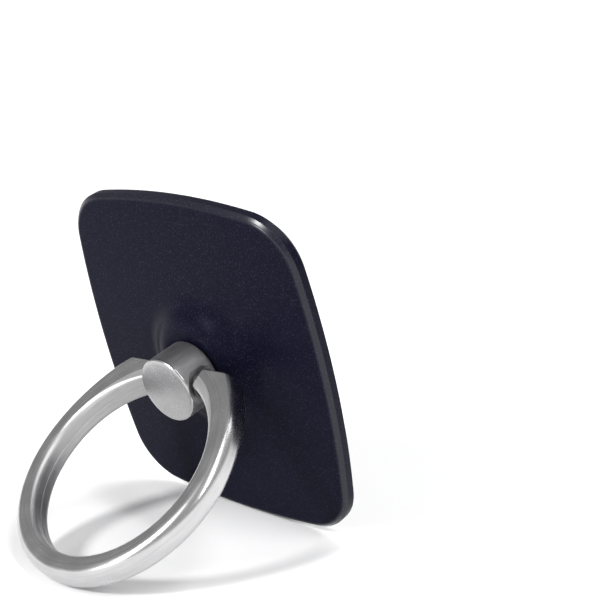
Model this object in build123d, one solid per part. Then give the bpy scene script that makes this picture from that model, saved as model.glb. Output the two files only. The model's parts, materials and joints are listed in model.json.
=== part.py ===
from build123d import *
import math
import os

# A stick-on phone ring holder, open as a kickstand. A bowed plate with an adhesive back carries a post that
# swivels in a low dome, and a finger ring is hinged across the post.
# The pieces are drawn in the plate's own frame: X across the plate, Y along it, Z out of its front, and zero
# at the middle of its rear face. The open holder is then set down on the floor that it stands on.
# All lengths are in millimetres and all angles in degrees.

# Base plate
plate_width = 35.8
plate_length = 40.0
plate_thickness = 1.7
side_bow_radius = 98.0
end_bow_radius = 83.0
corner_radius = 6.7
front_edge_round = 0.6
rear_edge_chamfer = 0.25

# Dome round the post, with the recess behind it
dome_margin = 0.5
dome_flare = 4.5
roof_thickness = 1.1

# Adhesive pad
pad_thickness = 0.6
pad_inset = 0.8

# Swivel: rivet tail, retaining washer and disc spring, stacked from the pad outwards
rivet_clearance = 0.52
rivet_head_radius = 2.7
rivet_head_height = 0.4
rivet_head_bevel = 0.2
tenon_radius = 1.8
washer_radius = 4.6
washer_thickness = 0.6
spring_height = 0.65
spring_thickness = 0.35
neck_radius = 2.4
thrust_radius = 3.2
thrust_height = 0.26

# Post head
post_radius = 3.8
post_head_height = 4.45
post_cap_round = 0.25
post_foot_bevel = 0.2

# Hinge: pin, flanged bushes and their seats on the post
hinge_rise = 2.25
pin_radius = 0.6
pin_depth = 3.0
pin_bevel = 0.12
bush_radius = 1.1
bush_sleeve = 2.2
bush_flange_radius = 2.0
bush_flange = 0.9
bush_flange_bevel = 0.15
seat_depth = 0.55

# Finger ring: one depth all round, wide and square-edged at the ends, slim and rounded outside at the foot
ring_inner_radius = 11.05
ring_drop = 11.45
ring_top = 1.1
ring_depth = 3.0
end_width = 3.9
end_swell = 4.5
end_corner = 0.45
foot_width = 2.6
foot_outer_corner = 1.0
foot_inner_corner = 0.6
ring_stations = 25

# Clearances
tight_fit = 0.01
running_fit = 0.04
axial_clearance = 0.04
side_clearance = 0.1
seat_clearance = 0.1
recess_clearance = 0.3
spring_clearance = 0.2
hole_end_clearance = 0.2
end_trim = 0.3

# Open position
ring_angle = 65.0
swivel_angle = 4.5

# Levels along the post, from the plate's rear face
rivet_bottom = rivet_clearance
washer_bottom = rivet_bottom + rivet_head_height
washer_top = washer_bottom + washer_thickness
spring_bottom = washer_top + axial_clearance
spring_top = spring_bottom + spring_height
roof = spring_top + axial_clearance
dome_top = roof + roof_thickness
thrust_face = dome_top + axial_clearance
post_foot = thrust_face + thrust_height
post_cap = post_foot + post_head_height
hinge_height = post_foot + hinge_rise

# Places that two pieces share
dome_top_radius = post_radius + dome_margin
recess_radius = washer_radius + recess_clearance
seat = post_radius - seat_depth
flange_face = seat + bush_flange
ring_end = flange_face + side_clearance
pin_end = ring_end + pin_depth
ring_centre = Vector(0, -ring_drop, 0)


def plate_outline(inset=0.0):
    """Four shallow bows with rounded corners, all drawn in by the inset."""
    side = Circle(side_bow_radius - inset)
    end = Circle(end_bow_radius - inset)
    side_offset = side_bow_radius - plate_width / 2
    end_offset = end_bow_radius - plate_length / 2
    outline = Pos(X=side_offset) * side & Pos(X=-side_offset) * side
    outline = outline & Pos(Y=end_offset) * end & Pos(Y=-end_offset) * end
    return fillet(outline.vertices(), corner_radius - inset)


def turned(*points):
    """Solid of revolution about Z from (radius, height) points."""
    profile = make_face(Polyline(*[(r, 0, z) for r, z in points], close=True))
    return revolve(profile, Axis.Z)


def across(radius, start, stop):
    """Cylinder along X from one place to another."""
    length = stop - start
    return Pos(X=start + length / 2) * Rot(Y=90) * Cylinder(radius, length)


def dome():
    """Flat-topped dome whose flank is two equal arcs, level at the top and where it meets the plate."""
    rise = dome_top - plate_thickness
    bend = (dome_flare**2 + rise**2) / (4 * rise)
    sweep = 2 * math.degrees(math.atan2(rise, dome_flare))
    with BuildPart() as solid:
        with BuildSketch(Plane.XZ):
            with BuildLine():
                top = Line((0, dome_top), (dome_top_radius, dome_top))
                crown = JernArc(top @ 1, top % 1, bend, -sweep)
                skirt = JernArc(crown @ 1, crown % 1, bend, sweep)
                Polyline(skirt @ 1, ((skirt @ 1).X, roof / 2), (0, roof / 2), (0, dome_top))
            make_face()
        revolve(axis=Axis.Z)
    return solid.part


def base_plate():
    """Bowed plate with its dome, the recess behind the dome and the hole for the post's neck."""
    plate = extrude(plate_outline(), plate_thickness)
    plate = fillet(plate.edges().group_by(Axis.Z)[-1], front_edge_round)
    plate = chamfer(plate.edges().group_by(Axis.Z)[0], rear_edge_chamfer)
    recess = turned((0, 0), (recess_radius, 0), (recess_radius, roof), (0, roof))
    neck_hole_radius = neck_radius + running_fit
    neck_hole = turned((0, 0), (neck_hole_radius, 0), (neck_hole_radius, dome_top), (0, dome_top))
    return plate + dome() - recess - neck_hole


def adhesive_pad():
    """Foam adhesive sheet that covers the plate's back inside its edge."""
    return extrude(plate_outline(pad_inset), -pad_thickness)


def disc_spring():
    """Conical spring: its inner rim bears on the washer and its outer rim under the dome's roof."""
    inner = neck_radius + spring_clearance
    outer = recess_radius - spring_clearance
    return turned(
        (inner, spring_bottom),
        (inner, spring_bottom + spring_thickness),
        (outer, spring_top),
        (outer, spring_top - spring_thickness),
    )


def retaining_washer():
    """Flat washer held on the post's tenon by the rivet head."""
    inner = tenon_radius + tight_fit
    return turned(
        (inner, washer_bottom),
        (washer_radius, washer_bottom),
        (washer_radius, washer_top),
        (inner, washer_top),
    )


def swivel_post():
    """Turned post: rivet head, tenon, neck, thrust collar and head, bored and spot-faced for the hinge."""
    post = turned(
        (0, rivet_bottom),
        (rivet_head_radius - rivet_head_bevel, rivet_bottom),
        (rivet_head_radius, rivet_bottom + rivet_head_bevel),
        (rivet_head_radius, washer_bottom),
        (tenon_radius, washer_bottom),
        (tenon_radius, washer_top),
        (neck_radius, washer_top),
        (neck_radius, thrust_face),
        (thrust_radius, thrust_face),
        (thrust_radius, post_foot),
        (post_radius - post_foot_bevel, post_foot),
        (post_radius, post_foot + post_foot_bevel),
        (post_radius, post_cap),
        (0, post_cap),
    )
    post = fillet(post.edges().group_by(Axis.Z)[-1], post_cap_round)
    cross_bore = across(bush_radius + tight_fit, -post_radius, post_radius)
    spot_face = across(bush_flange_radius + seat_clearance, seat, seat + post_radius)
    cuts = cross_bore + spot_face + mirror(spot_face, Plane.YZ)
    return post - Pos(Z=hinge_height) * cuts


def hinge_bush():
    """Flanged bush of the right-hand side, on the hinge axis."""
    sleeve = across(bush_radius, seat - bush_sleeve, seat)
    flange = across(bush_flange_radius, seat, flange_face)
    flange = chamfer(flange.edges().group_by(Axis.X)[-1], bush_flange_bevel)
    return sleeve + flange - across(pin_radius + running_fit, 0, ring_end)


def hinge_pin():
    """Straight pin with bevelled ends."""
    pin = across(pin_radius, -pin_end, pin_end)
    return chamfer(pin.edges().filter_by(GeomType.CIRCLE), pin_bevel)


def ring_section(turn):
    """Section of the ring at an angle in radians from its foot, square to the ring's run."""
    share = (1 - math.cos(turn)) / 2
    width = foot_width + (end_width - foot_width) * share**end_swell
    outer_corner = foot_outer_corner + (end_corner - foot_outer_corner) * share
    inner_corner = foot_inner_corner + (end_corner - foot_inner_corner) * share
    section = Rectangle(width, ring_depth)
    section = fillet(section.vertices().group_by(Axis.X)[-1], outer_corner)
    section = fillet(section.vertices().group_by(Axis.X)[0], inner_corner)
    outward = Vector(math.sin(turn), -math.cos(turn), 0)
    along = Vector(math.cos(turn), math.sin(turn), 0)
    middle = ring_centre + outward * (ring_inner_radius + width / 2)
    return Plane(origin=middle, x_dir=outward, z_dir=along) * section


def finger_ring():
    """Lofted ring, cut flat across its top and square at its two ends, which take the pin in blind holes."""
    reach = ring_inner_radius + end_width
    last = math.pi - math.asin((ring_end - end_trim) / reach)
    turns = [last * (2 * k / (ring_stations - 1) - 1) for k in range(ring_stations)]
    ring = loft([ring_section(turn) for turn in turns])
    above_top = Pos(Y=ring_top + reach / 2) * Box(2 * reach, reach, 2 * ring_depth)
    between_ends = Box(2 * ring_end, 2 * ring_drop, 2 * ring_depth)
    pin_hole = across(pin_radius + tight_fit, ring_end, pin_end + hole_end_clearance)
    return ring - above_top - between_ends - pin_hole - mirror(pin_hole, Plane.YZ)


def lean():
    """Angle by which the plate leans over the ring, from the floor that touches both.

    The floor is the common tangent of two circles in the plane through the post: the rounding of the plate's
    lower front edge, and the outer rounding of the ring's foot on the side that faces the plate.
    """
    angle = math.radians(ring_angle)
    foot = ring_drop + ring_inner_radius + foot_width - foot_outer_corner
    back = ring_depth / 2 - foot_outer_corner
    foot_y = -foot * math.cos(angle) - back * math.sin(angle)
    foot_z = hinge_height + foot * math.sin(angle) - back * math.cos(angle)
    along = foot_z - (plate_thickness - front_edge_round)
    up = foot_y + plate_length / 2 - front_edge_round
    apart = math.hypot(along, up)
    return math.degrees(math.atan2(up, along) - math.asin((foot_outer_corner - front_edge_round) / apart))


def assembly():
    """Every piece in the plate's frame, with the post swivelled and the ring opened."""
    swivel = Rot(Z=swivel_angle)
    hinge = swivel * Pos(Z=hinge_height)
    fold = hinge * Rot(X=-ring_angle)
    bush = hinge_bush()
    return {
        "base_plate": base_plate(),
        "adhesive_pad": adhesive_pad(),
        "disc_spring": disc_spring(),
        "retaining_washer": retaining_washer(),
        "swivel_post": swivel * swivel_post(),
        "hinge_bush_right": hinge * bush,
        "hinge_bush_left": hinge * mirror(bush, Plane.YZ),
        "hinge_pin": fold * hinge_pin(),
        "finger_ring": fold * finger_ring(),
    }


def stance(pieces):
    """Location that stands the plate up, leans it over the ring and centres the base on the origin."""
    upright = Rot(X=90 + lean())
    box = Compound([upright * piece for piece in pieces.values()]).bounding_box()
    return Pos(-box.center().X, -box.center().Y, -box.min.Z) * upright


def main():
    os.makedirs("parts", exist_ok=True)
    pieces = assembly()
    place = stance(pieces)
    for node, piece in pieces.items():
        export_step(place * piece, f"parts/{node}.step")


main()
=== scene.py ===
import json
import math

import bpy
import numpy as np
from mathutils import Matrix, Vector


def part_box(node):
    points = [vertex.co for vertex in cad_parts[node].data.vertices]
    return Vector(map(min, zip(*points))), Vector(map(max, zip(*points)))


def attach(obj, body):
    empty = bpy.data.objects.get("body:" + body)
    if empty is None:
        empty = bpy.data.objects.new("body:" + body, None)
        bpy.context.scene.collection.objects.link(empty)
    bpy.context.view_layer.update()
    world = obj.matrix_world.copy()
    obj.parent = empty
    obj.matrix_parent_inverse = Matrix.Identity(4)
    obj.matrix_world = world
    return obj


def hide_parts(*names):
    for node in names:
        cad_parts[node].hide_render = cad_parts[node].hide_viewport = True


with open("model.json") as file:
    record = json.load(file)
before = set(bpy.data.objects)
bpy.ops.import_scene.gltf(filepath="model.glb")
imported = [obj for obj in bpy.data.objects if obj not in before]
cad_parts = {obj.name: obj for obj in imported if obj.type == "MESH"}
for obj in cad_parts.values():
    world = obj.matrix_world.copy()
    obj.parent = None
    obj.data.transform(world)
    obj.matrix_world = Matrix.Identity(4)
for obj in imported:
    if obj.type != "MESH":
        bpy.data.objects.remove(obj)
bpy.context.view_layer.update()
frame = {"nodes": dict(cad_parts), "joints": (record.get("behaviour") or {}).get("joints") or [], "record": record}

bl_info = {
    "name": "Phone ring holder",
    "version": (1, 0, 0),
    "blender": (4, 5, 0),
    "location": "View3D > Sidebar > Ring holder",
    "description": "Builds a stick-on phone ring holder around its packed solids",
    "category": "Object",
}

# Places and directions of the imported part. Lengths are in metres.
JOINTS = {joint["name"]: joint for joint in frame["joints"]}
ADHESIVE_FACE = next(m for m in frame["record"]["mounts"] if m["name"] == "adhesive_face")
PLATE_LOW, PLATE_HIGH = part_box("base_plate")


def unit(vector):
    """The vector made one long."""
    return np.asarray(vector, float) / np.linalg.norm(vector)


ACROSS = np.array([1.0, 0.0, 0.0])
FRONT = -unit(ADHESIVE_FACE["axis"])
PLATE_AXES = np.array([ACROSS, np.cross(FRONT, ACROSS), FRONT])
PAD_BACK = np.array(ADHESIVE_FACE["pos_m"])
HINGE = np.array(JOINTS["ring_hinge"]["pos_m"])
HINGE_SIDE = -unit(JOINTS["ring_hinge"]["axis"])
HINGE_AXES = np.array([HINGE_SIDE, np.cross(FRONT, HINGE_SIDE), FRONT])
BUSH_AXES = np.roll(HINGE_AXES, -1, axis=0)
OPEN_ANGLE = -math.radians(JOINTS["ring_hinge"]["range_deg"][0])


def turned_axes(axes, angle):
    """Axes turned about their own X by the angle."""
    x, y, z = axes
    return np.array([x, y * math.cos(angle) + z * math.sin(angle), z * math.cos(angle) - y * math.sin(angle)])


RING_AXES = turned_axes(HINGE_AXES, -OPEN_ANGLE)

# Fineness of the meshes: points round each turned piece, and the radius of the rows that close on a pole
SHARP_ANGLE = math.radians(32)
POST_COLUMNS = 192
BUSH_COLUMNS = 160
HOLE_COLUMNS = 48
NEAR_AXIS = 0.0002


# Sizes, colours and stage values that a user may change


def length(name, description, default):
    """A length in metres."""
    return bpy.props.FloatProperty(
        name=name, description=description, default=default, min=0.0, unit="LENGTH", precision=5
    )


def factor(name, description, default, high=1.0):
    """A plain number from zero up."""
    return bpy.props.FloatProperty(name=name, description=description, default=default, min=0.0, max=high)


def angle(name, description, degrees):
    """An angle, given here in degrees."""
    return bpy.props.FloatProperty(
        name=name, description=description, default=math.radians(degrees), subtype="ANGLE"
    )


def colour(name, description, default):
    """A linear colour."""
    return bpy.props.FloatVectorProperty(
        name=name, description=description, default=default, size=3, min=0.0, max=1.0, subtype="COLOR"
    )


class PlateSettings(bpy.types.PropertyGroup):
    width: length("Width", "Plate's size across", PLATE_HIGH.x - PLATE_LOW.x)
    height: length("Length", "Plate's size along its middle line", 0.040)
    thickness: length("Thickness", "Rear face to front face", 0.0017)
    side_bow: length("Side bow", "Radius of the two long sides", 0.098)
    end_bow: length("End bow", "Radius of the top and bottom", 0.083)
    corner: length("Corner", "Radius of the four corners", 0.0067)
    front_bevel: length("Front bevel", "Bevel of the front edge", 0.0005)
    front_blend: length("Front blend", "Radius that blends the bevel into the face", 0.0008)
    crease: length("Crease", "Rounding of the edges of the side wall", 0.00006)
    rear_bevel: length("Rear bevel", "Bevel of the rear edge", 0.00025)
    dome_top_radius: length("Dome top radius", "Flat top of the dome", 0.0043)
    dome_flare: length("Dome flare", "Width of the dome's flank", 0.0045)
    dome_top: length("Dome top", "Height of the dome above the rear face", 0.00335)
    roof: length("Recess depth", "Depth of the recess behind the dome", 0.00225)
    recess_radius: length("Recess radius", "Radius of the recess behind the dome", 0.0049)
    neck_hole: length("Neck hole", "Radius of the hole for the post", 0.00244)
    pad_thickness: length("Pad thickness", "Thickness of the adhesive pad", 0.0006)
    pad_inset: length("Pad inset", "Margin of plate left round the pad", 0.0008)
    pad_round: length("Pad edge", "Rounding of the pad's rear edge", 0.00012)


class PostSettings(bpy.types.PropertyGroup):
    radius: length("Radius", "Post's head", 0.0038)
    foot: length("Foot", "Height of the head's lower face above the plate's rear face", 0.00365)
    cap: length("Cap", "Height of the cap above the plate's rear face", 0.0081)
    cap_round: length("Cap round", "Rounding of the cap's rim", 0.00025)
    foot_bevel: length("Foot bevel", "Rounding of the head's lower rim", 0.0002)
    thrust_radius: length("Thrust radius", "Collar under the head", 0.0032)
    thrust_face: length("Thrust face", "Height of the collar's lower face", 0.00339)
    neck_radius: length("Neck radius", "Neck in the dome's hole", 0.0024)
    washer_top: length("Washer top", "Height of the neck's shoulder", 0.00152)
    washer_bottom: length("Washer bottom", "Height of the rivet head's upper face", 0.00092)
    tenon_radius: length("Tenon radius", "Tenon that holds the washer", 0.0018)
    rivet_radius: length("Rivet radius", "Formed rivet head", 0.0027)
    rivet_bottom: length("Rivet bottom", "Height of the rivet head's lower face", 0.00052)
    rivet_bevel: length("Rivet bevel", "Bevel of the rivet head", 0.0002)
    seat: length("Seat", "Distance of the bush seats from the post's axis", 0.00325)
    seat_radius: length("Seat radius", "Radius of the bush seats", 0.0021)
    bore: length("Cross bore", "Radius of the bore for the bushes", 0.00101)
    bush_radius: length("Bush sleeve", "Outer radius of a bush's sleeve", 0.0010)
    bush_sleeve: length("Sleeve length", "Length of a bush's sleeve", 0.0022)
    flange_radius: length("Flange radius", "Radius of a bush's flange", 0.00145)
    flange: length("Flange", "Thickness of a bush's flange", 0.0006)
    flange_round: length("Flange round", "Rounding of the flange's rim", 0.00015)
    pin_hole: length("Pin hole", "Radius of the hole through a bush", 0.00064)


class RingSettings(bpy.types.PropertyGroup):
    inner_radius: length("Inner radius", "Radius of the finger hole", 0.01105)
    drop: length("Drop", "Distance from the hinge to the ring's middle", 0.01145)
    top: length("Flat top", "Height of the flat cut above the hinge", 0.00115)
    end: length("End", "Distance of each end face from the post's middle", 0.00395)
    depth: length("Depth", "Ring's size along its own axis", 0.0032)
    end_width: length("End width", "Width that the wall would reach behind the post", 0.0049)
    foot_width: length("Foot width", "Width of the ring's wall at its foot", 0.0026)
    end_swell: factor("End swell", "How late the wall widens towards the ends", 6.5, 10.0)
    end_corner: length("End corner", "Outer edge radius that would be reached behind the post", 0.0002)
    foot_corner: length("Foot corner", "Outer edge radius at the foot", 0.0012)
    inner_corner: length("Inner corner", "Inner edge radius at the foot", 0.0008)
    inner_end: length("Inner end corner", "Inner edge radius that would be reached behind the post", 0.00015)
    cut_round: length("Cut round", "Rounding of the edges of the end cuts", 0.00014)
    seam_height: length("Seam height", "Height of the casting seam inside the ring", 0.000035)
    seam_width: length("Seam width", "Half width of the casting seam", 0.00009)
    pin_hole: length("Pin hole", "Radius of the pin's blind holes", 0.00061)
    pin_depth: length("Pin hole depth", "Depth of the pin's blind holes", 0.0035)


class FinishSettings(bpy.types.PropertyGroup):
    paint: colour("Paint", "Plate's satin paint", (0.0038, 0.0037, 0.0100))
    paint_fleck: colour("Paint fleck", "Fine light grain in the paint", (0.021, 0.0205, 0.042))
    paint_roughness: factor("Paint roughness", "Roughness of the satin paint", 0.34)
    nickel: colour("Nickel", "Satin nickel plating", (0.55, 0.545, 0.55))
    # Painted shade: below one, this darkens the post's nickel beside the ring's, though both are the same plating.
    post_painted_shade: factor("Post tone", "How light the post's nickel is beside the ring's", 0.86)
    nickel_roughness: factor("Nickel roughness", "Roughness of the satin nickel", 0.25)
    # Painted shade: the bushes' steel is made dark to stand in for the shade of the gap between the post and the
    # ring.
    steel: colour("Steel", "Turned steel of the bushes", (0.10, 0.10, 0.10))
    zinc: colour("Zinc", "Zinc plating of the washer and pin", (0.60, 0.60, 0.61))
    spring: colour("Spring", "Oiled spring steel", (0.20, 0.19, 0.18))
    foam: colour("Foam", "Adhesive foam", (0.030, 0.030, 0.034))


class StageSettings(bpy.types.PropertyGroup):
    floor_colour: colour("Floor", "Pale studio floor", (0.95, 0.95, 0.955))
    floor_size: length("Floor size", "Side of the floor", 60.0)
    camera_place: bpy.props.FloatVectorProperty(
        name="Camera place", description="Where the camera stands", default=(0.10325, -0.09355, 0.05916),
        size=3, subtype="TRANSLATION", unit="LENGTH",
    )
    camera_azimuth: angle("Camera azimuth", "Turn about the vertical from the plate's front", 41.46)
    camera_elevation: angle("Camera elevation", "Angle above the floor", 12.90)
    camera_roll: angle("Camera roll", "Turn about the view", 0.23)
    camera_lens: bpy.props.FloatProperty(
        name="Lens", description="Focal length on a 36 mm sensor, in millimetres", default=80.48, min=1.0,
        subtype="DISTANCE_CAMERA",
    )
    key_strength: factor("Key strength", "Strength of the front light", 2.4, 20.0)
    rim_power: factor("Rim power", "Power of the long right-hand softbox", 1.2, 100.0)
    kick_power: factor("Kick power", "Power of the small low light at the left", 1.9, 100.0)
    back_strength: factor("Back strength", "Strength of the broad light from behind", 1.45, 20.0)
    sky: factor("Sky", "Strength of the sky", 0.44, 5.0)
    sky_slope: factor("Sky slope", "How much brighter the sky is towards the right", 0.08, 5.0)
    horizon: factor("Horizon", "How much brighter the sky is along the horizon", 0.60, 5.0)


class HolderSettings(bpy.types.PropertyGroup):
    plate: bpy.props.PointerProperty(type=PlateSettings, name="Plate", description="Plate, dome and pad")
    post: bpy.props.PointerProperty(type=PostSettings, name="Post", description="Post and its bushes")
    ring: bpy.props.PointerProperty(type=RingSettings, name="Ring", description="Finger ring")
    finish: bpy.props.PointerProperty(type=FinishSettings, name="Finish", description="Colours and finishes")
    stage: bpy.props.PointerProperty(type=StageSettings, name="Stage", description="Floor, lights and camera")


# Meshes


def carry(points, origin, axes):
    """Local points set along the axes from the origin."""
    return origin + points @ axes


def grid_faces(rows, columns, close_rows=False):
    """Quads over a grid whose columns close on themselves, and whose rows may: one corner array per face."""
    row = np.arange(rows if close_rows else rows - 1)[:, None]
    column = np.arange(columns)[None, :]
    below = (row + 1) % rows
    beside = (column + 1) % columns
    corners = (
        row * columns + column, below * columns + column, below * columns + beside, row * columns + beside
    )
    return np.stack(corners, axis=-1).reshape(-1, 4)


def signed_volume(points, faces):
    """Volume inside a closed surface, from its face fans: negative if the faces point inwards."""
    total = 0.0
    for group in faces:
        for k in range(1, group.shape[1] - 1):
            a, b, c = points[group[:, 0]], points[group[:, k]], points[group[:, k + 1]]
            total += np.einsum("ij,ij->", a, np.cross(b, c))
    return total / 6


def put_mesh(name, points, faces, guide):
    """New object at the origin from points and groups of faces, turned outwards and smooth."""
    if signed_volume(points - points.mean(axis=0), faces) < 0:
        faces = [group[:, ::-1] for group in faces]
    mesh = bpy.data.meshes.new(name)
    mesh.from_pydata(points.tolist(), [], [face for group in faces for face in group.tolist()])
    mesh.attributes.new("guide", "FLOAT_VECTOR", "POINT")
    mesh.shade_smooth()
    mesh.set_sharp_from_angle(angle=SHARP_ANGLE)
    mesh.validate()
    piece = bpy.data.objects.new(name, mesh)
    bpy.context.scene.collection.objects.link(piece)
    mark(piece, guide)
    return piece


def mark(piece, guide):
    """Writes each point's place in the piece's own directions, for patterns that follow its making."""
    piece.data.attributes["guide"].data.foreach_set("vector", guide.astype(np.float32).ravel())


def local_points(piece, origin, axes):
    """The piece's points measured along the axes from the origin."""
    places = np.empty(3 * len(piece.data.vertices), np.float32)
    piece.data.vertices.foreach_get("co", places)
    return (places.reshape(-1, 3) - origin) @ axes.T


def arc(centre, radius, start, stop, count):
    """Points on a circle from one angle to another, in degrees, as (first, second) coordinates."""
    turn = np.radians(np.linspace(start, stop, count))
    return np.array(centre) + radius * np.stack([np.cos(turn), np.sin(turn)], axis=1)


def lathe(name, profile, origin, axes, columns, poles):
    """Profile of (radius, height) points turned about the third axis: radius times cosine and sine.

    With poles, the profile runs from the upper end of the axis, outside and down to its lower end, and both
    ends close on single points. Without, the profile is a closed loop.
    """
    turn = np.linspace(0, 2 * math.pi, columns, endpoint=False)
    radius, height = profile[:, 0, None], profile[:, 1, None]
    grid = np.stack(np.broadcast_arrays(radius * np.cos(turn), radius * np.sin(turn), height), axis=-1)
    local = grid.reshape(-1, 3)
    faces = [grid_faces(len(profile), columns, close_rows=not poles)]
    if poles:
        first, last = len(local), len(local) + 1
        ends = np.array([[0.0, 0.0, profile[0, 1]], [0.0, 0.0, profile[-1, 1]]])
        local = np.vstack([local, ends])
        column = np.arange(columns)
        beside = (column + 1) % columns
        bottom = (len(profile) - 1) * columns
        faces.append(np.stack([np.full(columns, first), column, beside], axis=1))
        faces.append(np.stack([bottom + column, np.full(columns, last), bottom + beside], axis=1))
    return put_mesh(name, carry(local, origin, axes), faces, local)


def cut_away(piece, cutter):
    """Takes the cutter's volume out of the piece and removes the cutter."""
    modifier = piece.modifiers.new("cut", "BOOLEAN")
    modifier.operation = "DIFFERENCE"
    modifier.solver = "EXACT"
    modifier.object = cutter
    graph = bpy.context.evaluated_depsgraph_get()
    mesh = bpy.data.meshes.new_from_object(piece.evaluated_get(graph))
    if len(mesh.polygons) == 0:
        raise RuntimeError(f"nothing is left of {piece.name} after its cut")
    piece.modifiers.clear()
    uncut = piece.data
    mesh.name = uncut.name
    piece.data = mesh
    bpy.data.meshes.remove(uncut)
    shape = cutter.data
    bpy.data.objects.remove(cutter)
    bpy.data.meshes.remove(shape)
    mesh.shade_smooth()
    mesh.set_sharp_from_angle(angle=SHARP_ANGLE)


def bowed_outline(plate, side_count=20, corner_count=26, end_count=18):
    """Points and outward normals round the plate's edge, counter-clockwise from +X.

    The edge is four bows joined by corner arcs. A point is found from the direction of its normal: arc centre
    plus arc radius times that direction. A bow's centre is its radius inside its middle. A corner arc touches
    two bows from inside, so its centre is where two circles cross, each of a bow's radius less the corner's.
    """
    side_centre = plate.width / 2 - plate.side_bow
    end_centre = plate.height / 2 - plate.end_bow
    side_reach = plate.side_bow - plate.corner
    end_reach = plate.end_bow - plate.corner
    apart = math.hypot(side_centre, end_centre)
    along = (side_reach**2 - end_reach**2 + apart**2) / (2 * apart)
    off = math.sqrt(side_reach**2 - along**2)
    toward = np.array([-side_centre, end_centre]) / apart
    corner = np.array([side_centre, 0.0]) + along * toward + off * np.array([-toward[1], toward[0]])
    start = math.atan2(corner[1], corner[0] - side_centre)
    stop = math.atan2(corner[1] - end_centre, corner[0])
    quarter = np.concatenate([
        np.linspace(0, start, side_count, endpoint=False),
        np.linspace(start, stop, corner_count, endpoint=False),
        np.linspace(stop, math.pi / 2, end_count, endpoint=False),
    ])
    half = np.concatenate([quarter, [math.pi / 2], math.pi - quarter[:0:-1]])
    turn = np.concatenate([half, half + math.pi])
    normal = np.stack([np.cos(turn), np.sin(turn)], axis=1)
    folded = np.arctan2(np.abs(normal[:, 1]), np.abs(normal[:, 0]))
    kinds = [folded < start - 1e-9, folded > stop + 1e-9]
    radius = np.select(kinds, [plate.side_bow, plate.end_bow], plate.corner)
    sign = np.where(normal < 0, -1.0, 1.0)
    centre_x = np.select(kinds, [side_centre, 0.0], corner[0]) * sign[:, 0]
    centre_y = np.select(kinds, [0.0, end_centre], corner[1]) * sign[:, 1]
    return np.stack([centre_x, centre_y], axis=1) + radius[:, None] * normal, normal


def plate_rows(outline, normal, rows):
    """Grid of points from rows of (share, radius, inset, height).

    Share 1 is the outline drawn in along its normals by the inset, and share 0 is a circle of the radius.
    Between them each point is mixed in a straight line.
    """
    share, radius, inset, height = (column[:, None, None] for column in np.array(rows, float).T)
    spoke = outline / np.linalg.norm(outline, axis=1)[:, None]
    flat = share * (outline - inset * normal) + (1 - share) * radius * spoke
    return np.concatenate([flat, np.broadcast_to(height, flat.shape[:2] + (1,))], axis=2)


def level(rows, first, last, count):
    """Rows mixed evenly between two rows, without the first."""
    step = np.linspace(0, 1, count + 1)[1:, None]
    return rows + [tuple(row) for row in np.array(first) + step * (np.array(last) - np.array(first))]


def build_plate(plate):
    """Plate surface as one closed loop of rows: over the dome, front face, edge, rear, recess and neck hole.

    The dome's flank is two equal arcs, one falling away from the flat top and one easing out onto the plate.
    The edge is a bevel of 45 degrees that an arc blends into the face, and the side wall with both its edges
    rounded. Such a rounding takes its radius times the tangent of a quarter of a right angle from each side.
    """
    outline, normal = bowed_outline(plate)
    rise = plate.dome_top - plate.thickness
    bend = (plate.dome_flare**2 + rise**2) / (4 * rise)
    sweep = 2 * math.atan2(rise, plate.dome_flare)
    base_radius = plate.dome_top_radius + plate.dome_flare
    rows = [(0, plate.neck_hole, 0, plate.dome_top)]
    rows = level(rows, rows[-1], (0, plate.dome_top_radius, 0, plate.dome_top), 4)
    for fall in np.linspace(0, sweep, 13)[1:]:
        radius = plate.dome_top_radius + bend * math.sin(fall)
        rows.append((0, radius, 0, plate.dome_top - bend * (1 - math.cos(fall))))
    for fall in np.linspace(sweep, 0, 13)[1:]:
        radius = base_radius - bend * math.sin(fall)
        rows.append((0, radius, 0, plate.thickness + bend * (1 - math.cos(fall))))
    quarter = math.tan(math.pi / 8)
    blend_start = plate.front_bevel + plate.front_blend * quarter
    rows = level(rows, rows[-1], (1, base_radius, blend_start, plate.thickness), 14)
    for turn in np.linspace(0, math.pi / 4, 9)[1:]:
        inset = blend_start - plate.front_blend * math.sin(turn)
        rows.append((1, base_radius, inset, plate.thickness - plate.front_blend * (1 - math.cos(turn))))
    wall_top = plate.thickness - plate.front_bevel - plate.crease * quarter
    wall_bottom = plate.rear_bevel + plate.crease * quarter
    for turn in np.linspace(math.pi / 4, math.pi / 2, 5):
        inset = plate.crease * (1 - math.sin(turn))
        rows.append((1, base_radius, inset, wall_top + plate.crease * math.cos(turn)))
    rows = level(rows, rows[-1], (1, plate.recess_radius, 0, wall_bottom), 3)
    for turn in np.linspace(math.pi / 2, 3 * math.pi / 4, 5)[1:]:
        inset = plate.crease * (1 - math.sin(turn))
        rows.append((1, plate.recess_radius, inset, wall_bottom + plate.crease * math.cos(turn)))
    rows = level(rows, rows[-1], (1, plate.recess_radius, plate.rear_bevel, 0), 1)
    rows = level(rows, rows[-1], (0, plate.recess_radius, 0, 0), 10)
    rows = level(rows, rows[-1], (0, plate.recess_radius, 0, plate.roof), 3)
    rows = level(rows, rows[-1], (0, plate.neck_hole, 0, plate.roof), 3)
    rows = level(rows, rows[-1], rows[0], 3)[:-1]
    local = plate_rows(outline, normal, rows).reshape(-1, 3)
    origin = PAD_BACK + plate.pad_thickness * FRONT
    faces = [grid_faces(len(rows), len(outline), close_rows=True)]
    return put_mesh("plate_body", carry(local, origin, PLATE_AXES), faces, local)


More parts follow.
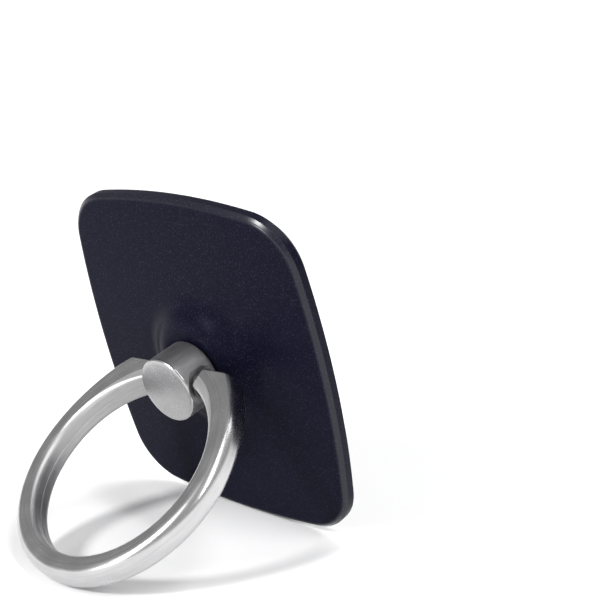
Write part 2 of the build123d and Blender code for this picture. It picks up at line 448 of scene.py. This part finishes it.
def build_pad(plate):
    """Pad as the plate's outline drawn in: from its front middle, round a soft edge, to its rear middle."""
    outline, normal = bowed_outline(plate)
    inset, soft, rear = plate.pad_inset, plate.pad_round, -plate.pad_thickness
    innermost = 0.02
    rows = [(innermost, 0, inset, 0)]
    rows = level(rows, rows[-1], (1, 0, inset, 0), 10)
    rows = level(rows, rows[-1], (1, 0, inset, rear + soft), 3)
    for turn in np.linspace(0, math.pi / 2, 6)[1:]:
        rows.append((1, 0, inset + soft * (1 - math.cos(turn)), rear + soft * (1 - math.sin(turn))))
    rows = level(rows, rows[-1], (innermost, 0, inset + soft, rear), 10)
    grid = plate_rows(outline, normal, rows).reshape(-1, 3)
    columns = len(outline)
    column = np.arange(columns)
    beside = (column + 1) % columns
    last = (len(rows) - 1) * columns
    local = np.vstack([grid, [[0, 0, 0], [0, 0, rear]]])
    faces = [
        grid_faces(len(rows), columns),
        np.stack([np.full(columns, len(grid)), column, beside], axis=1),
        np.stack([last + column, np.full(columns, len(grid) + 1), last + beside], axis=1),
    ]
    origin = PAD_BACK + plate.pad_thickness * FRONT
    return put_mesh("adhesive_sheet", carry(local, origin, PLATE_AXES), faces, local)


def build_post(plate, post):
    """Post turned from its cap's middle, down its head, collar, neck and tenon, to the rivet head's middle.

    A stepped cutter along the hinge then takes out the two bush seats and the bore between them.
    """
    rim = post.cap_round
    foot_round = post.foot_bevel
    head = [
        [(r, post.cap) for r in np.linspace(NEAR_AXIS, post.radius - rim, 9)[:-1]],
        arc((post.radius - rim, post.cap - rim), rim, 90, 0, 9),
        [(post.radius, z) for z in np.linspace(post.cap - rim, post.foot + foot_round, 10)[1:-1]],
        arc((post.radius - foot_round, post.foot + foot_round), foot_round, 0, -90, 6),
        [(post.thrust_radius, post.foot), (post.thrust_radius, post.thrust_face)],
        [(post.neck_radius, post.thrust_face), (post.neck_radius, post.washer_top)],
        [(post.tenon_radius, post.washer_top), (post.tenon_radius, post.washer_bottom)],
        [(post.rivet_radius, post.washer_bottom), (post.rivet_radius, post.rivet_bottom + post.rivet_bevel)],
        [(post.rivet_radius - post.rivet_bevel, post.rivet_bottom), (NEAR_AXIS, post.rivet_bottom)],
    ]
    origin = PAD_BACK + plate.pad_thickness * FRONT
    piece = lathe("post_body", np.vstack(head), origin, HINGE_AXES, POST_COLUMNS, poles=True)
    reach = post.seat + post.radius
    steps = np.array([
        (NEAR_AXIS, reach), (post.seat_radius, reach), (post.seat_radius, post.seat), (post.bore, post.seat),
        (post.bore, -post.seat), (post.seat_radius, -post.seat), (post.seat_radius, -reach),
        (NEAR_AXIS, -reach),
    ])
    cut_away(piece, lathe("bush_cutter", steps, HINGE, BUSH_AXES, BUSH_COLUMNS, poles=True))
    mark(piece, local_points(piece, origin, HINGE_AXES))
    return piece


def build_bush(post, name, side):
    """Flanged bush turned about the hinge: a closed loop over the flange, the sleeve and the hole."""
    face = post.seat + post.flange
    soft = post.flange_round
    rim = post.flange_radius - soft
    hole, sleeve = post.pin_hole, post.bush_radius
    inner = post.seat - post.bush_sleeve
    loop = [
        [(r, face) for r in np.linspace(hole, rim, 6)[:-1]],
        arc((rim, face - soft), soft, 90, 0, 7),
        [(post.flange_radius, face - post.flange / 2)],
        arc((rim, post.seat + soft), soft, 0, -90, 7),
        [(sleeve, post.seat), (sleeve, inner), (hole, inner)],
    ]
    axes = BUSH_AXES if side > 0 else np.array([BUSH_AXES[1], BUSH_AXES[0], -BUSH_AXES[2]])
    return lathe(name, np.vstack(loop), HINGE, axes, BUSH_COLUMNS, poles=False)


def section_line(seam_share):
    """Half of the ring's section, from the middle of its inner wall over its upper side to the outer middle.

    Each point is a sum of shares of the wall's width, depth and two corner radii. The columns are the radial
    shares of width, inner and outer corner, the axial shares of depth, inner and outer corner, the outward
    normal, and the share of the casting seam's height.
    """
    flat = np.concatenate([seam_share, np.linspace(seam_share[-1], 1, 7)[1:]])
    seam = np.concatenate([np.linspace(1, 0, len(seam_share)) ** 1.5, np.zeros(6)])
    zero, one = np.zeros_like(flat), np.ones_like(flat)
    inner_wall = [-0.5 * one, zero, zero, 0.5 * flat, -flat, zero, -one, zero, seam]
    bend = np.radians(np.linspace(0, 90, 9)[1:])
    c, s = np.cos(bend), np.sin(bend)
    zero, one = np.zeros_like(bend), np.ones_like(bend)
    inner_corner = [-0.5 * one, 1 - c, zero, 0.5 * one, s - 1, zero, -c, s, zero]
    flat = np.linspace(0, 1, 15)[1:]
    zero, one = np.zeros_like(flat), np.ones_like(flat)
    upper_face = [flat - 0.5, 1 - flat, -flat, 0.5 * one, zero, zero, zero, one, zero]
    bend = np.radians(np.linspace(0, 90, 13)[1:])
    c, s = np.cos(bend), np.sin(bend)
    zero, one = np.zeros_like(bend), np.ones_like(bend)
    outer_corner = [0.5 * one, zero, s - 1, 0.5 * one, zero, c - 1, s, c, zero]
    flat = np.linspace(1, 0, 6)[1:]
    zero, one = np.zeros_like(flat), np.ones_like(flat)
    outer_wall = [0.5 * one, zero, zero, 0.5 * flat, zero, -flat, one, zero, zero]
    runs = (inner_wall, inner_corner, upper_face, outer_corner, outer_wall)
    return np.hstack([np.array(run) for run in runs]).T


class RingShape:
    """The ring's surface in its own frame: hinge at zero, foot towards -Y, X along the hinge."""

    def __init__(self, ring):
        self.ring = ring
        half_wall = ring.depth / 2 - ring.inner_corner
        seam_share = np.array([0.0, 0.25, 0.5, 0.75, 1.0]) * ring.seam_width / half_wall
        upper = section_line(seam_share)
        lower = upper[-2:0:-1] * np.array([1, 1, 1, -1, -1, -1, 1, -1, 1])
        self.line = np.vstack([upper, lower])
        self.half = len(upper) - 1

    def sizes(self, turn):
        """Width, inner corner and outer corner of the wall at a turn from the foot.

        They go from the foot's sizes to the end sizes with one share, which is half of one less the cosine of
        the turn, to the power of the swell.
        """
        ring = self.ring
        share = ((1 - np.cos(turn)) / 2) ** ring.end_swell
        width = ring.foot_width + (ring.end_width - ring.foot_width) * share
        inner = ring.inner_corner + (ring.inner_end - ring.inner_corner) * share
        return width, inner, ring.foot_corner + (ring.end_corner - ring.foot_corner) * share

    def section(self, turn, inset):
        """Radius from the ring's axis and place along that axis, at each line and its turn."""
        ring = self.ring
        width, inner, outer = self.sizes(turn)
        k = self.line.T
        across = k[0] * width + k[1] * inner + k[2] * outer - inset * k[6] + ring.seam_height * k[8]
        along = k[3] * ring.depth + k[4] * inner + k[5] * outer - inset * k[7]
        return ring.inner_radius + width / 2 + across, along

    def points(self, turn, inset=0.0):
        """Points at each line and its turn: X is radius times sine, Y falls by radius times cosine."""
        radius, along = self.section(turn, inset)
        x = radius * np.sin(turn)
        y = -self.ring.drop - radius * np.cos(turn)
        return np.stack([x, y, np.broadcast_to(along, x.shape)], axis=-1)

    def guide(self, local):
        """Place across the wall, along the ring's axis and along its run, for points of its frame."""
        x, y, along = local.T
        turn = np.arctan2(x, -self.ring.drop - y)
        across = np.hypot(x, self.ring.drop + y) - self.ring.inner_radius - self.sizes(turn)[0] / 2
        return np.stack([across, along, turn * (self.ring.inner_radius + self.ring.foot_width / 2)], axis=1)

    def end_turn(self, inset, before):
        """Turn at which each line is the given distance before the end cuts, found by halving.

        The cuts are the flat top and the end face, and the lesser of the two distances counts, with the edge
        between the cuts rounded off.
        """
        ring = self.ring
        surely_inside = math.radians(120)
        halvings = 48
        low = np.full(len(self.line), surely_inside)
        high = np.full(len(self.line), math.pi)
        soft = 2.5 * ring.cut_round
        for _ in range(halvings):
            turn = (low + high) / 2
            radius = self.section(turn, inset)[0]
            below_top = ring.top + ring.drop + radius * np.cos(turn)
            past_end = radius * np.sin(turn) - ring.end
            near = np.maximum(soft - np.abs(below_top - past_end), 0) / soft
            room = np.minimum(below_top, past_end) - near**2 * soft / 4
            inside = room > before
            low = np.where(inside, turn, low)
            high = np.where(inside, high, turn)
        return (low + high) / 2


def build_ring(ring):
    """Ring swept from end to end over the foot, with rounded cut ends and a blind hole in each.

    The rows of the sweep crowd towards the ends as the sine of an angle does.
    """
    shape = RingShape(ring)
    bends = np.linspace(0, math.pi / 2, 6)
    insets = ring.cut_round * (1 - np.cos(bends))
    befores = ring.cut_round * (1 - np.sin(bends))
    ends = [shape.end_turn(inset, before) for inset, before in zip(insets, befores)]
    rows_of_sweep, crowding = 181, 1.2
    sweep = np.sin(np.linspace(-1, 1, rows_of_sweep) * crowding) / math.sin(crowding)
    skin = [(step * ends[0], 0.0) for step in sweep]
    left = [(-turn, inset) for turn, inset in zip(ends[:0:-1], insets[:0:-1])]
    right = [(turn, inset) for turn, inset in zip(ends[1:], insets[1:])]
    rows = [shape.points(turn, inset) for turn, inset in left + skin + right]
    local = np.array(rows).reshape(-1, 3)
    columns, half = len(shape.line), shape.half
    step = np.arange(1, half - 1)
    caps = []
    for base, order in ((0, 1), ((len(rows) - 1) * columns, -1)):
        quads = np.stack([step, step + 1, columns - step - 1, columns - step], axis=1)
        tips = np.array([[0, 1, columns - 1], [half - 1, half, half + 1]])
        caps += [base + quads[:, ::order], base + tips[:, ::order]]
    faces = [grid_faces(len(rows), columns)] + caps
    piece = put_mesh("ring_body", carry(local, HINGE, RING_AXES), faces, local)
    tip = ring.end + ring.pin_depth
    for name, side in (("right_hole", 1), ("left_hole", -1)):
        profile = np.array([
            (NEAR_AXIS / 2, tip), (ring.pin_hole, tip),
            (ring.pin_hole, ring.end / 2), (NEAR_AXIS / 2, ring.end / 2),
        ])
        axes = np.roll(RING_AXES, -1, axis=0)
        axes = axes if side > 0 else np.array([axes[1], axes[0], -axes[2]])
        cut_away(piece, lathe(name, profile, HINGE, axes, HOLE_COLUMNS, poles=True))
    mark(piece, shape.guide(local_points(piece, HINGE, RING_AXES)))
    return piece


# Materials


class Value:
    """A shader socket that takes part in Python sums; each sum adds a Math node."""

    def __init__(self, graph, socket):
        self.graph = graph
        self.socket = socket

    def math(self, operation, first, second=None):
        values = {0: first} if second is None else {0: first, 1: second}
        return self.graph.node("ShaderNodeMath", {"operation": operation}, values)

    def __add__(self, other):
        return self.math("ADD", self, other)

    def __radd__(self, other):
        return self.math("ADD", other, self)

    def __sub__(self, other):
        return self.math("SUBTRACT", self, other)

    def __rsub__(self, other):
        return self.math("SUBTRACT", other, self)

    def __mul__(self, other):
        return self.math("MULTIPLY", self, other)

    def clipped(self, low, high):
        """The value held between two limits."""
        return self.math("MINIMUM", self.math("MAXIMUM", self, low), high)


class Graph:
    """A node tree that is written as expressions."""

    def __init__(self, tree):
        self.tree = tree
        tree.nodes.clear()

    def node(self, kind, settings=None, inputs=None, output=0):
        """Adds a node with its settings, then the values or links of its sockets, and gives one output."""
        made = self.tree.nodes.new(kind)
        for key, setting in (settings or {}).items():
            setattr(made, key, setting)
        for key, value in (inputs or {}).items():
            if isinstance(value, Value):
                self.tree.links.new(value.socket, made.inputs[key])
            else:
                made.inputs[key].default_value = value
        return Value(self, made.outputs[output])

    def object_place(self):
        return self.node("ShaderNodeTexCoord", output="Object")

    def guide(self):
        return self.node("ShaderNodeAttribute", {"attribute_name": "guide"}, output="Vector")

    def stretched(self, vector, scale):
        """The vector with each part multiplied."""
        return self.node("ShaderNodeVectorMath", {"operation": "MULTIPLY"}, {0: vector, 1: scale})

    def noise(self, vector, scale, detail=2.0, roughness=0.5):
        values = {"Vector": vector, "Scale": scale, "Detail": detail, "Roughness": roughness}
        return self.node("ShaderNodeTexNoise", None, values, "Fac")

    def blend(self, share, first, second):
        """Mix of two colours."""
        return self.node(
            "ShaderNodeMix", {"data_type": "RGBA"}, {"Factor": share, 6: opaque(first), 7: opaque(second)}, 2
        )

    def bump(self, height, distance, strength):
        values = {"Height": height, "Distance": distance, "Strength": strength}
        return self.node("ShaderNodeBump", None, values, "Normal")

    def surface(self, **sockets):
        """Principled surface and the tree's output."""
        names = {key.replace("_", " "): value for key, value in sockets.items()}
        shader = self.node("ShaderNodeBsdfPrincipled", None, names, "BSDF")
        self.node_output("ShaderNodeOutputMaterial", shader)

    def node_output(self, kind, shader):
        out = self.tree.nodes.new(kind)
        self.tree.links.new(shader.socket, out.inputs["Surface"])


def opaque(value):
    """A colour with full alpha; a socket stays as it is."""
    return value if isinstance(value, Value) else (*value, 1.0)


def new_material(name):
    material = bpy.data.materials.new(name)
    material.use_nodes = True
    return material, Graph(material.node_tree)


def satin_paint(finish, plate):
    """Near-black satin paint: fine light grain, faint clouding, orange peel and a gloss on the bevel."""
    material, graph = new_material("midnight_satin_paint")
    place = graph.object_place()
    grain = graph.noise(place, scale=6500.0, roughness=0.6)
    fleck = ((grain - 0.56) * 7.0).clipped(0.0, 1.0)
    cloud = graph.noise(place, scale=260.0, detail=3.0)
    base = graph.blend(fleck, finish.paint, finish.paint_fleck)
    peel = graph.noise(place, scale=2600.0) * 0.6 + grain * 0.4
    height = graph.node("ShaderNodeSeparateXYZ", None, {0: graph.guide()}, "Z")
    down = (plate.thickness - height) * (1 / plate.front_bevel)
    on_bevel = (down * 4.0).clipped(0.0, 1.0) * ((1.1 - down) * 8.0).clipped(0.15, 1.0)
    graph.surface(
        Base_Color=base,
        Roughness=finish.paint_roughness + (cloud - 0.5) * 0.06 + (grain - 0.5) * 0.10,
        Normal=graph.bump(peel, distance=0.000010, strength=0.55),
        Specular_IOR_Level=0.035,
        Specular_Tint=(0.70, 0.70, 1.0, 1.0),
        Coat_Weight=on_bevel * 0.7,
        Coat_Roughness=0.26,
    )
    return material


def satin_nickel(finish, name, tone, stretch, groove, matt_part, matt_below, matt_gain):
    """Satin nickel: grain drawn out along the guide, soft patches and grooves of the given depth.

    The tone lightens or darkens the plating; below one it darkens it as painted shade. The surface is rougher by
    the gain where the named part of the guide is below a limit.
    """
    material, graph = new_material(name)
    guide = graph.guide()
    lines = graph.noise(graph.stretched(guide, stretch), scale=1.0, detail=3.0, roughness=0.6)
    patch = graph.noise(guide, scale=420.0)
    grit = graph.noise(guide, scale=9000.0, detail=1.0)
    part = graph.node("ShaderNodeSeparateXYZ", None, {0: guide}, matt_part)
    matt = ((matt_below - part) * 10000.0).clipped(0.0, 1.0)
    streak = ((lines - 0.34) * 2.6 + (patch - 0.5) * 1.4 + (grit - 0.5) * 0.6).clipped(0.0, 1.0)
    plating = np.array(finish.nickel) * tone
    shade = graph.blend(streak, tuple(0.86 * plating), tuple(1.02 * plating))
    graph.surface(
        Base_Color=shade,
        Metallic=1.0,
        Roughness=finish.nickel_roughness + (patch - 0.5) * 0.10 + (lines - 0.5) * 0.10 + matt * matt_gain,
        Normal=graph.bump(lines * 0.7 + grit * 0.3, distance=groove, strength=0.6),
    )
    return material


def turned_steel(finish):
    """Turned steel with fine rings round the guide's third direction, darkened as painted shade of the gap it sits
    in.
    """
    material, graph = new_material("turned_bush_steel")
    guide = graph.guide()
    rings = graph.noise(graph.stretched(guide, (600.0, 600.0, 14000.0)), scale=1.0)
    graph.surface(
        Base_Color=graph.blend(rings, tuple(0.9 * c for c in finish.steel), finish.steel),
        Metallic=1.0,
        Roughness=0.30 + rings * 0.08,
        Normal=graph.bump(rings, distance=0.000002, strength=0.6),
    )
    return material


def plated_steel(name, tone, roughness, mottle):
    """Plated or oiled steel of the hidden fittings: mottled tone and roughness."""
    material, graph = new_material(name)
    place = graph.object_place()
    spangle = graph.noise(place, scale=1800.0, detail=3.0)
    graph.surface(
        Base_Color=graph.blend(spangle, tuple((1 - mottle) * c for c in tone), tone),
        Metallic=1.0,
        Roughness=roughness + (spangle - 0.5) * 0.12,
        Normal=graph.bump(graph.noise(place, scale=7000.0), distance=0.000003, strength=0.5),
    )
    return material


def adhesive_foam(finish):
    """Dark closed-cell foam: fine cells, faint rolling marks and a tacky half-matt face."""
    material, graph = new_material("dark_adhesive_foam")
    place = graph.object_place()
    cell_values = {"Vector": place, "Scale": 4200.0}
    cells = graph.node("ShaderNodeTexVoronoi", {"feature": "F1"}, cell_values, "Distance")
    wave = graph.noise(place, scale=320.0, detail=3.0)
    dark, light = (tuple(share * c for c in finish.foam) for share in (0.8, 1.25))
    graph.surface(
        Base_Color=graph.blend(wave, dark, light),
        Roughness=0.62 + (wave - 0.5) * 0.16 + cells * 0.06,
        Normal=graph.bump(cells * 0.5 + wave * 0.5, distance=0.000012, strength=0.6),
    )
    return material


def studio_floor(stage):
    """Pale matt floor with a barely seen paper grain."""
    material, graph = new_material("pale_studio_floor")
    place = graph.object_place()
    grain = graph.noise(place, scale=900.0)
    tone = tuple(stage.floor_colour)
    graph.surface(
        Base_Color=graph.blend(grain, tuple(0.985 * c for c in tone), tone),
        Roughness=0.85 + (grain - 0.5) * 0.1,
        Specular_IOR_Level=0.1,
    )
    return material


def dress(piece, material, body, slot, *nodes):
    """Gives a new piece its material and body and hides the solids that it stands for. The finish slot is not
    used.
    """
    piece.data.materials.clear()
    piece.data.materials.append(material)
    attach(piece, body)
    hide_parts(*nodes)


# Operators


def settings():
    return bpy.context.scene.ring_holder


class RINGHOLDER_OT_plate(bpy.types.Operator):
    """Build the painted plate with its dome"""

    bl_idname = "ring_holder.plate"
    bl_label = "Plate"

    def execute(self, context):
        holder = settings()
        paint = satin_paint(holder.finish, holder.plate)
        dress(build_plate(holder.plate), paint, "base", "plate_paint", "base_plate")
        return {"FINISHED"}


class RINGHOLDER_OT_pad(bpy.types.Operator):
    """Build the adhesive pad behind the plate"""

    bl_idname = "ring_holder.pad"
    bl_label = "Adhesive pad"

    def execute(self, context):
        holder = settings()
        dress(build_pad(holder.plate), adhesive_foam(holder.finish), "base", "foam_adhesive", "adhesive_pad")
        return {"FINISHED"}


class RINGHOLDER_OT_post(bpy.types.Operator):
    """Build the swivelling post"""

    bl_idname = "ring_holder.post"
    bl_label = "Post"

    def execute(self, context):
        holder = settings()
        below_rim = holder.post.cap - holder.post.cap_round
        # The post's nickel is darkened by the painted shade factor.
        finish = satin_nickel(
            holder.finish, "satin_nickel_turned", holder.finish.post_painted_shade, stretch=(5200.0, 5200.0, 420.0),
            groove=0.000003, matt_part="Z", matt_below=below_rim, matt_gain=0.18,
        )
        dress(build_post(holder.plate, holder.post), finish, "post", "satin_nickel", "swivel_post")
        return {"FINISHED"}


class RINGHOLDER_OT_bushes(bpy.types.Operator):
    """Build the two flanged hinge bushes"""

    bl_idname = "ring_holder.bushes"
    bl_label = "Hinge bushes"

    def execute(self, context):
        holder = settings()
        steel = turned_steel(holder.finish)
        for name, side, node in (("bush_right", 1, "hinge_bush_right"), ("bush_left", -1, "hinge_bush_left")):
            dress(build_bush(holder.post, name, side), steel, "post", "bush_steel", node)
        return {"FINISHED"}


class RINGHOLDER_OT_ring(bpy.types.Operator):
    """Build the folding finger ring"""

    bl_idname = "ring_holder.ring"
    bl_label = "Finger ring"

    def execute(self, context):
        holder = settings()
        inside = holder.ring.inner_corner / 2 - holder.ring.foot_width / 2
        finish = satin_nickel(
            holder.finish, "satin_nickel_drawn", 1.0, stretch=(5200.0, 5200.0, 200.0),
            groove=0.000004, matt_part="X", matt_below=inside, matt_gain=0.24,
        )
        dress(build_ring(holder.ring), finish, "ring", "satin_nickel", "finger_ring")
        return {"FINISHED"}


class RINGHOLDER_OT_fittings(bpy.types.Operator):
    """Finish the pin, washer and spring inside the holder"""

    bl_idname = "ring_holder.fittings"
    bl_label = "Inner fittings"

    def execute(self, context):
        finish = settings().finish
        zinc = plated_steel("bright_zinc", finish.zinc, roughness=0.28, mottle=0.12)
        spring = plated_steel("oiled_spring_steel", finish.spring, roughness=0.34, mottle=0.3)
        for node, material in (("hinge_pin", zinc), ("retaining_washer", zinc), ("disc_spring", spring)):
            materials = frame["nodes"][node].data.materials
            materials.clear()
            materials.append(material)
        return {"FINISHED"}


def toward(azimuth, elevation):
    """Unit vector at an azimuth from the plate's front and an elevation, in degrees."""
    a, e = math.radians(azimuth), math.radians(elevation)
    return Vector((math.sin(a) * math.cos(e), -math.cos(a) * math.cos(e), math.sin(e)))


class RINGHOLDER_OT_stage(bpy.types.Operator):
    """Lay the floor, set the lights and place the camera"""

    bl_idname = "ring_holder.stage"
    bl_label = "Stage"

    def execute(self, context):
        stage = settings().stage
        scene = context.scene
        scene.view_settings.view_transform = "Standard"
        self.floor(scene, stage)
        self.lights(scene, stage)
        self.camera(scene, stage)
        return {"FINISHED"}

    def floor(self, scene, stage):
        half = stage.floor_size / 2
        corners = [(-half, -half, 0), (half, -half, 0), (half, half, 0), (-half, half, 0)]
        mesh = bpy.data.meshes.new("floor")
        mesh.from_pydata(corners, [], [(0, 1, 2, 3)])
        mesh.materials.append(studio_floor(stage))
        floor = bpy.data.objects.new("floor", mesh)
        scene.collection.objects.link(floor)

    def lights(self, scene, stage):
        """Key light from the front, broad light from behind, a long and a small softbox, and a sky."""
        self.far_light(scene, "key", toward(-12, 36), spread=11.0, strength=stage.key_strength)
        self.softbox(scene, "rim", toward(78, 50), distance=0.55, size=(0.05, 0.45), power=stage.rim_power)
        self.softbox(scene, "kick", toward(-14, 13), distance=0.8, size=(0.15, 0.10), power=stage.kick_power)
        self.far_light(scene, "back", toward(162, 55), spread=40.0, strength=stage.back_strength)
        world = bpy.data.worlds.new("studio")
        world.use_nodes = True
        scene.world = world
        graph = Graph(world.node_tree)
        direction = graph.node("ShaderNodeTexCoord", output="Generated")
        side = graph.node("ShaderNodeSeparateXYZ", None, {0: direction}, "X")
        height = graph.node("ShaderNodeSeparateXYZ", None, {0: direction}, "Z")
        near_horizon = ((0.016 - height * height) * 120.0).clipped(0.0, 1.0)
        strength = stage.sky + side * stage.sky_slope + near_horizon * stage.horizon
        sky = graph.node("ShaderNodeBackground", None, {"Color": (1, 1, 1, 1), "Strength": strength})
        graph.node_output("ShaderNodeOutputWorld", sky)

    def far_light(self, scene, name, direction, spread, strength):
        """Even light from far away, as wide as the spread in degrees."""
        light = bpy.data.lights.new(name, "SUN")
        light.energy = strength
        light.angle = math.radians(spread)
        self.stand(scene, light, direction, 1.0)

    def softbox(self, scene, name, direction, distance, size, power):
        """Rectangular light of a width and height, facing the holder."""
        light = bpy.data.lights.new(name, "AREA")
        light.shape = "RECTANGLE"
        light.size, light.size_y = size
        light.energy = power
        self.stand(scene, light, direction, distance)

    def stand(self, scene, light, direction, distance):
        """Light set off from the holder's middle and aimed back at it."""
        item = bpy.data.objects.new(light.name, light)
        item.location = Vector((0.0, 0.0, 0.015)) + direction * distance
        item.rotation_mode = "QUATERNION"
        item.rotation_quaternion = (-direction).to_track_quat("-Z", "Y")
        scene.collection.objects.link(item)

    def camera(self, scene, stage):
        a, e, r = stage.camera_azimuth, stage.camera_elevation, stage.camera_roll
        back = Vector((math.sin(a) * math.cos(e), -math.cos(a) * math.cos(e), math.sin(e)))
        level_right = Vector((math.cos(a), math.sin(a), 0.0))
        level_up = back.cross(level_right)
        right = level_right * math.cos(r) + level_up * math.sin(r)
        up = back.cross(right)
        data = bpy.data.cameras.new("camera")
        data.sensor_width = 36.0
        data.lens = stage.camera_lens
        data.clip_start = 0.005
        camera = bpy.data.objects.new("camera", data)
        turn = Matrix((right, up, back)).transposed().to_4x4()
        camera.matrix_world = Matrix.Translation(stage.camera_place) @ turn
        scene.collection.objects.link(camera)
        scene.camera = camera


class RINGHOLDER_PT_panel(bpy.types.Panel):
    """Steps that build the ring holder"""

    bl_idname = "RINGHOLDER_PT_panel"
    bl_label = "Ring holder"
    bl_space_type = "VIEW_3D"
    bl_region_type = "UI"
    bl_category = "Ring holder"

    def draw(self, context):
        for step in STEPS:
            self.layout.operator(step.bl_idname)


STEPS = (
    RINGHOLDER_OT_plate,
    RINGHOLDER_OT_pad,
    RINGHOLDER_OT_post,
    RINGHOLDER_OT_bushes,
    RINGHOLDER_OT_ring,
    RINGHOLDER_OT_fittings,
    RINGHOLDER_OT_stage,
)
CLASSES = (
    PlateSettings, PostSettings, RingSettings, FinishSettings, StageSettings, HolderSettings, *STEPS,
    RINGHOLDER_PT_panel,
)


def register():
    for item in CLASSES:
        bpy.utils.register_class(item)
    bpy.types.Scene.ring_holder = bpy.props.PointerProperty(
        type=HolderSettings, name="Ring holder", description="Sizes, finishes and stage of the ring holder"
    )


def unregister():
    del bpy.types.Scene.ring_holder
    for item in reversed(CLASSES):
        bpy.utils.unregister_class(item)


def main():
    register()
    bpy.ops.ring_holder.plate()
    bpy.ops.ring_holder.pad()
    bpy.ops.ring_holder.post()
    bpy.ops.ring_holder.bushes()
    bpy.ops.ring_holder.ring()
    bpy.ops.ring_holder.fittings()
    bpy.ops.ring_holder.stage()


if __name__ == "__main__":
    main()
